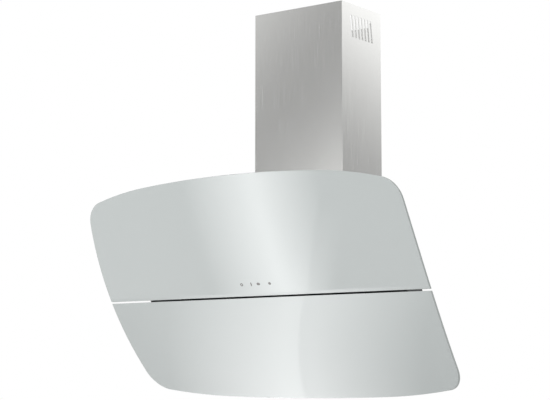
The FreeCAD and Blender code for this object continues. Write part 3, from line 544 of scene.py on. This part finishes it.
class HOOD_OT_chimney(HoodOperator):
    """Brush the chimney cover and plate what holds it"""

    bl_idname = "hood.chimney"
    bl_label = "Chimney cover"

    def make(self, finishes, sizes):
        dress(brushed("brushed_stainless", finishes.stainless), "chimney_cover")
        dress(powder_coat("bracket_white", BRACKET_WHITE, 0.6), "chimney_bracket")
        dress(zinc("clip_steel", finishes.zinc), "chimney_clips")


class HOOD_OT_casing(HoodOperator):
    """Coat the inclined casing behind the glass"""

    bl_idname = "hood.casing"
    bl_label = "Inclined casing"

    def make(self, finishes, sizes):
        dress(powder_coat("black_powder_coat", finishes.casing), "front_casing", "casing_back",
              "filter_rim")


class HOOD_OT_filter(HoodOperator):
    """Finish the grease filter and its latch"""

    bl_idname = "hood.filter"
    bl_label = "Grease filter"

    def make(self, finishes, sizes):
        dress(brushed("filter_alloy", finishes.filter, 0.32, (10, 700, 700)), "filter_frame")
        dress(brushed("filter_core", tint(finishes.filter, 0.9), 0.38, (700, 10, 10)),
              "filter_grille")
        dress(moulded("latch_black", finishes.black), "filter_latch", "latch_cover")


class HOOD_OT_brackets(HoodOperator):
    """Plate the ribs, the rails, the hinges and their screws"""

    bl_idname = "hood.brackets"
    bl_label = "Ribs, rails and hinges"

    def make(self, finishes, sizes):
        plated = zinc("rib_zinc", finishes.zinc)
        dress(plated, "upper_rib_left", "upper_rib_right", "door_rail_left", "door_rail_right",
              "door_crossbar", "hinge_bracket_left", "hinge_bracket_right")
        dress(zinc("pin_zinc", tint(finishes.zinc, 1.1), 0.22), "hinge_pins", "rib_screws",
              "scroll_screws", "motor_shaft")
        dress(moulded("catch_black", finishes.black), "magnet_catches")


class HOOD_OT_controls(HoodOperator):
    """Finish the touch controls and the wiring boxes"""

    bl_idname = "hood.controls"
    bl_label = "Controls and wiring"

    def make(self, finishes, sizes):
        dress(moulded("control_black", finishes.black), "control_housing", "control_box",
              "control_lid", "cable_gland")
        dress(circuit_board("solder_mask", SOLDER_GREEN), "touch_board")
        dress(moulded("can_shell", CAN_WHITE, 0.3), "capacitor")
        dress(zinc("clip_zinc", finishes.zinc), "capacitor_clip")


class HOOD_OT_housing(HoodOperator):
    """Finish the motor housing and the wall plate"""

    bl_idname = "hood.housing"
    bl_label = "Motor housing"

    def make(self, finishes, sizes):
        dress(galvanised("housing_sheet", finishes.housing), "rear_housing", "back_plate")


class HOOD_OT_blower(HoodOperator):
    """Finish the blower, its motor, the collar and the flaps"""

    bl_idname = "hood.blower"
    bl_label = "Blower"

    def make(self, finishes, sizes):
        dress(moulded("scroll_grey", finishes.grey), "scroll_left", "scroll_right",
              "outlet_collar")
        dress(moulded("wheel_grey", tint(finishes.grey, 0.7), 0.42), "impeller", "flap_front",
              "flap_rear")
        dress(powder_coat("motor_coat", MOTOR_GREY, 0.38), "motor")
        dress(zinc("bracket_plate", finishes.zinc), "motor_bracket")
        dress(rubber("bush_rubber", RUBBER_BLACK), "motor_bushes")


class HOOD_OT_lamps(HoodOperator):
    """Finish the two lamps under the housing"""

    bl_idname = "hood.lamps"
    bl_label = "Lamps"

    def make(self, finishes, sizes):
        dress(chromed("lamp_chrome", CHROME), "lamp_bezels")
        dress(frosted("lamp_glass", ETCHED_GLASS), "lamp_lenses")
        dress(cast("heat_sink", CAST_ALLOY), "lamp_bodies")


def reflecting_card(name, corners, strength_of):
    """A studio card that only gloss sees; strength_of gives its brightness over x, y, z."""
    shape = bmesh.new()
    verts = [shape.verts.new(corner) for corner in corners]
    shape.faces.new(verts)
    return glossy_only(name, shape, strength_of)


def glossy_only(name, shape, strength_of):
    """Make a glowing stage object that shows in reflections and nowhere else."""
    paint = Paint(name)
    paint.surface(Base_Color=(0, 0, 0), Specular_IOR_Level=0.0, Roughness=1.0,
                  Emission_Color=strength_of(paint, *paint.axes()), Emission_Strength=1.0)
    card = object_of(name, shape, paint.material)
    for kind in ("camera", "diffuse", "transmission", "volume_scatter", "shadow"):
        setattr(card, f"visible_{kind}", False)
    return card


class HOOD_OT_stage(HoodOperator):
    """Set up the floor, the lights, the reflecting cards and the camera"""

    bl_idname = "hood.stage"
    bl_label = "Studio"

    def make(self, finishes, sizes):
        self.floor(sizes)
        self.world()
        self.lights()
        self.cards(sizes)
        self.camera()

    def floor(self, sizes):
        shape = bmesh.new()
        bmesh.ops.create_circle(shape, cap_ends=True, segments=96, radius=FLOOR_RADIUS,
                                matrix=Matrix.Translation((0, 0, sizes.floor_level)))
        paint = Paint("studio_floor")
        x, y, z = paint.axes()
        far = paint.soft((x * x + y * y) ** 0.5, *FLOOR_FADE)
        paint.surface(Base_Color=(0.86, 0.86, 0.86), Roughness=0.9, Specular_IOR_Level=0.1)
        glow = paint.add("ShaderNodeEmission", None, {"Color": (1, 1, 1, 1), "Strength": 1.0})
        blend = paint.add("ShaderNodeMixShader", None, {0: far, 2: glow})
        tree = paint.tree
        tree.links.new(paint.shader.outputs[0], blend.socket.node.inputs[1])
        tree.links.new(blend.socket, tree.nodes["Material Output"].inputs["Surface"])
        object_of("studio_floor", shape, paint.material)

    def world(self):
        world = bpy.data.worlds.new("studio")
        world.use_nodes = True
        bpy.context.scene.world = world
        tree = world.node_tree
        path = tree.nodes.new("ShaderNodeLightPath")
        direct = tree.nodes.new("ShaderNodeMath")
        direct.operation = "MAXIMUM"
        tree.links.new(path.outputs["Is Camera Ray"], direct.inputs[0])
        tree.links.new(path.outputs["Is Glossy Ray"], direct.inputs[1])
        seen = tree.nodes.new("ShaderNodeMath")
        seen.operation = "MAXIMUM"
        tree.links.new(direct.outputs[0], seen.inputs[0])
        tree.links.new(path.outputs["Is Transmission Ray"], seen.inputs[1])
        level = tree.nodes.new("ShaderNodeMapRange")
        level.inputs["To Min"].default_value = 0.62
        level.inputs["To Max"].default_value = 1.0
        tree.links.new(seen.outputs[0], level.inputs["Value"])
        ground = tree.nodes["Background"]
        ground.inputs["Color"].default_value = (1, 1, 1, 1)
        tree.links.new(level.outputs["Result"], ground.inputs["Strength"])

    def lights(self):
        for name, spot, aim, size, power in SOFTBOXES:
            data = bpy.data.lights.new(name, "AREA")
            data.shape = "SQUARE"
            data.size = size
            data.energy = power
            lamp = bpy.data.objects.new(name, data)
            bpy.context.scene.collection.objects.link(lamp)
            lamp.location = spot
            lamp.rotation_euler = (Vector(aim) - Vector(spot)).to_track_quat("-Z", "Y").to_euler()
            lamp.visible_glossy = False
            lamp.visible_camera = False

    def cards(self, sizes):
        y0, z0 = bend_axis(sizes)
        for name, low, high, strength in (
                ("upper_glass_card", -5, CARD_PARTING, self.upper_glow),
                ("lower_glass_card", CARD_PARTING, 80, self.lower_glow)):
            shape = bmesh.new()
            angle = math.radians(low)
            start = Vector((0, y0 - CARD_RADIUS * math.cos(angle),
                            z0 - CARD_RADIUS * math.sin(angle)))
            ends = [shape.verts.new(start + Vector((x, 0, 0))) for x in CARD_ENDS]
            edge = shape.edges.new(ends)
            bmesh.ops.spin(shape, geom=[*ends, edge], cent=(0, y0, z0), axis=(1, 0, 0),
                           angle=math.radians(high - low), steps=24, use_duplicate=False)
            glossy_only(name, shape, strength)
        reflecting_card("front_chimney_card", [
            (-1.5, -1.2, -0.1), (0.1, -1.2, -0.1), (0.1, -1.2, 1.5), (-1.5, -1.2, 1.5)],
            self.front_glow)
        reflecting_card("side_chimney_card", [
            (0.9, 0.4, 0.0), (0.9, 1.9, 0.0), (0.9, 1.9, 1.5), (0.9, 0.4, 1.5)],
            self.side_glow)

    @staticmethod
    def upper_glow(paint, x, y, z):
        """A bright band with an even slope on its left and a slanted edge on its right."""
        low = paint.between(z, 0.55, 0.0, -0.65, -0.15)
        rise = paint.between(x, 1.0, 6.9, -0.75, -0.50)
        fall = paint.between(x, 0.0, 6.1, -0.48, -0.27)
        past = x - z * 0.304 + 0.207
        inside = past < 0
        tail = paint.between(past, 1.0, 0.0, 0.0, 0.10) * paint.between(z, 3.0, 0.0, -0.65, -0.25)
        return (rise - fall) * inside + (tail + 0.7) * (1 - inside) + low

    @staticmethod
    def lower_glow(paint, x, y, z):
        """The same band as the lower panel reflects it, leaning with the height."""
        across = x - z * 0.448
        foot = paint.between(across, 0.9, 1.4, -0.80, -0.63)
        rise = paint.between(across, 0.0, 4.8, -0.63, -0.18)
        step = paint.between(across, 0.0, 1.2, -0.125, -0.115)
        fall = paint.between(across, 0.0, 4.35, -0.07, 0.31)
        return foot + rise - step - fall

    @staticmethod
    def front_glow(paint, x, y, z):
        """Two slanted sheens on the chimney's front."""
        slant = x - z
        near = paint.between(slant, 0.43, 0.0, -1.90, -1.47)
        far = paint.between(slant, 0.0, 0.38, -1.42, -1.04)
        return near * near * 2.36 + far * far * 2.6 + 0.375

    @staticmethod
    def side_glow(paint, x, y, z):
        """A sheen that grows towards the top of the chimney's side."""
        along = z + (y - 0.92) * 0.37
        rise = paint.between(along, 0.0, 0.62, 0.48, 1.10)
        foot = paint.between(along, 0.03, 0.0, 0.34, 0.47)
        return rise * rise * 2.416 + rise * 0.192 + foot + 0.425

    def camera(self):
        data = bpy.data.cameras.new("photo_camera")
        data.sensor_width = SENSOR_WIDTH
        data.lens = FOCAL_PIXELS / PICTURE_PIXELS * SENSOR_WIDTH
        camera = bpy.data.objects.new("photo_camera", data)
        bpy.context.scene.collection.objects.link(camera)
        camera.location = CAMERA_SPOT
        camera.rotation_euler = (math.pi / 2 + CAMERA_LIFT, 0, CAMERA_TURN)
        bpy.context.scene.camera = camera


class HOOD_PT_panel(bpy.types.Panel):
    """The steps in the order in which they run"""

    bl_label = "Range hood"
    bl_idname = "HOOD_PT_panel"
    bl_space_type = "VIEW_3D"
    bl_region_type = "UI"
    bl_category = "Hood"

    def draw(self, context):
        for step in STEPS:
            self.layout.operator(step.bl_idname)
        for group in (context.scene.hood_finishes, context.scene.hood_sizes):
            box = self.layout.box()
            for key in type(group).__annotations__:
                box.prop(group, key)


STEPS = (HOOD_OT_glass, HOOD_OT_touch_marks, HOOD_OT_chimney, HOOD_OT_casing, HOOD_OT_filter,
         HOOD_OT_brackets, HOOD_OT_controls, HOOD_OT_housing, HOOD_OT_blower, HOOD_OT_lamps,
         HOOD_OT_stage)
CLASSES = (HoodFinishes, HoodSizes, *STEPS, HOOD_PT_panel)


def register():
    for item in CLASSES:
        bpy.utils.register_class(item)
    bpy.types.Scene.hood_finishes = bpy.props.PointerProperty(type=HoodFinishes)
    bpy.types.Scene.hood_sizes = bpy.props.PointerProperty(type=HoodSizes)


def unregister():
    del bpy.types.Scene.hood_sizes
    del bpy.types.Scene.hood_finishes
    for item in reversed(CLASSES):
        bpy.utils.unregister_class(item)


def main():
    register()
    for step in STEPS:
        group, name = step.bl_idname.split(".")
        getattr(getattr(bpy.ops, group), name)()
    bpy.context.scene.view_settings.view_transform = "Standard"


if __name__ == "__main__":
    main()
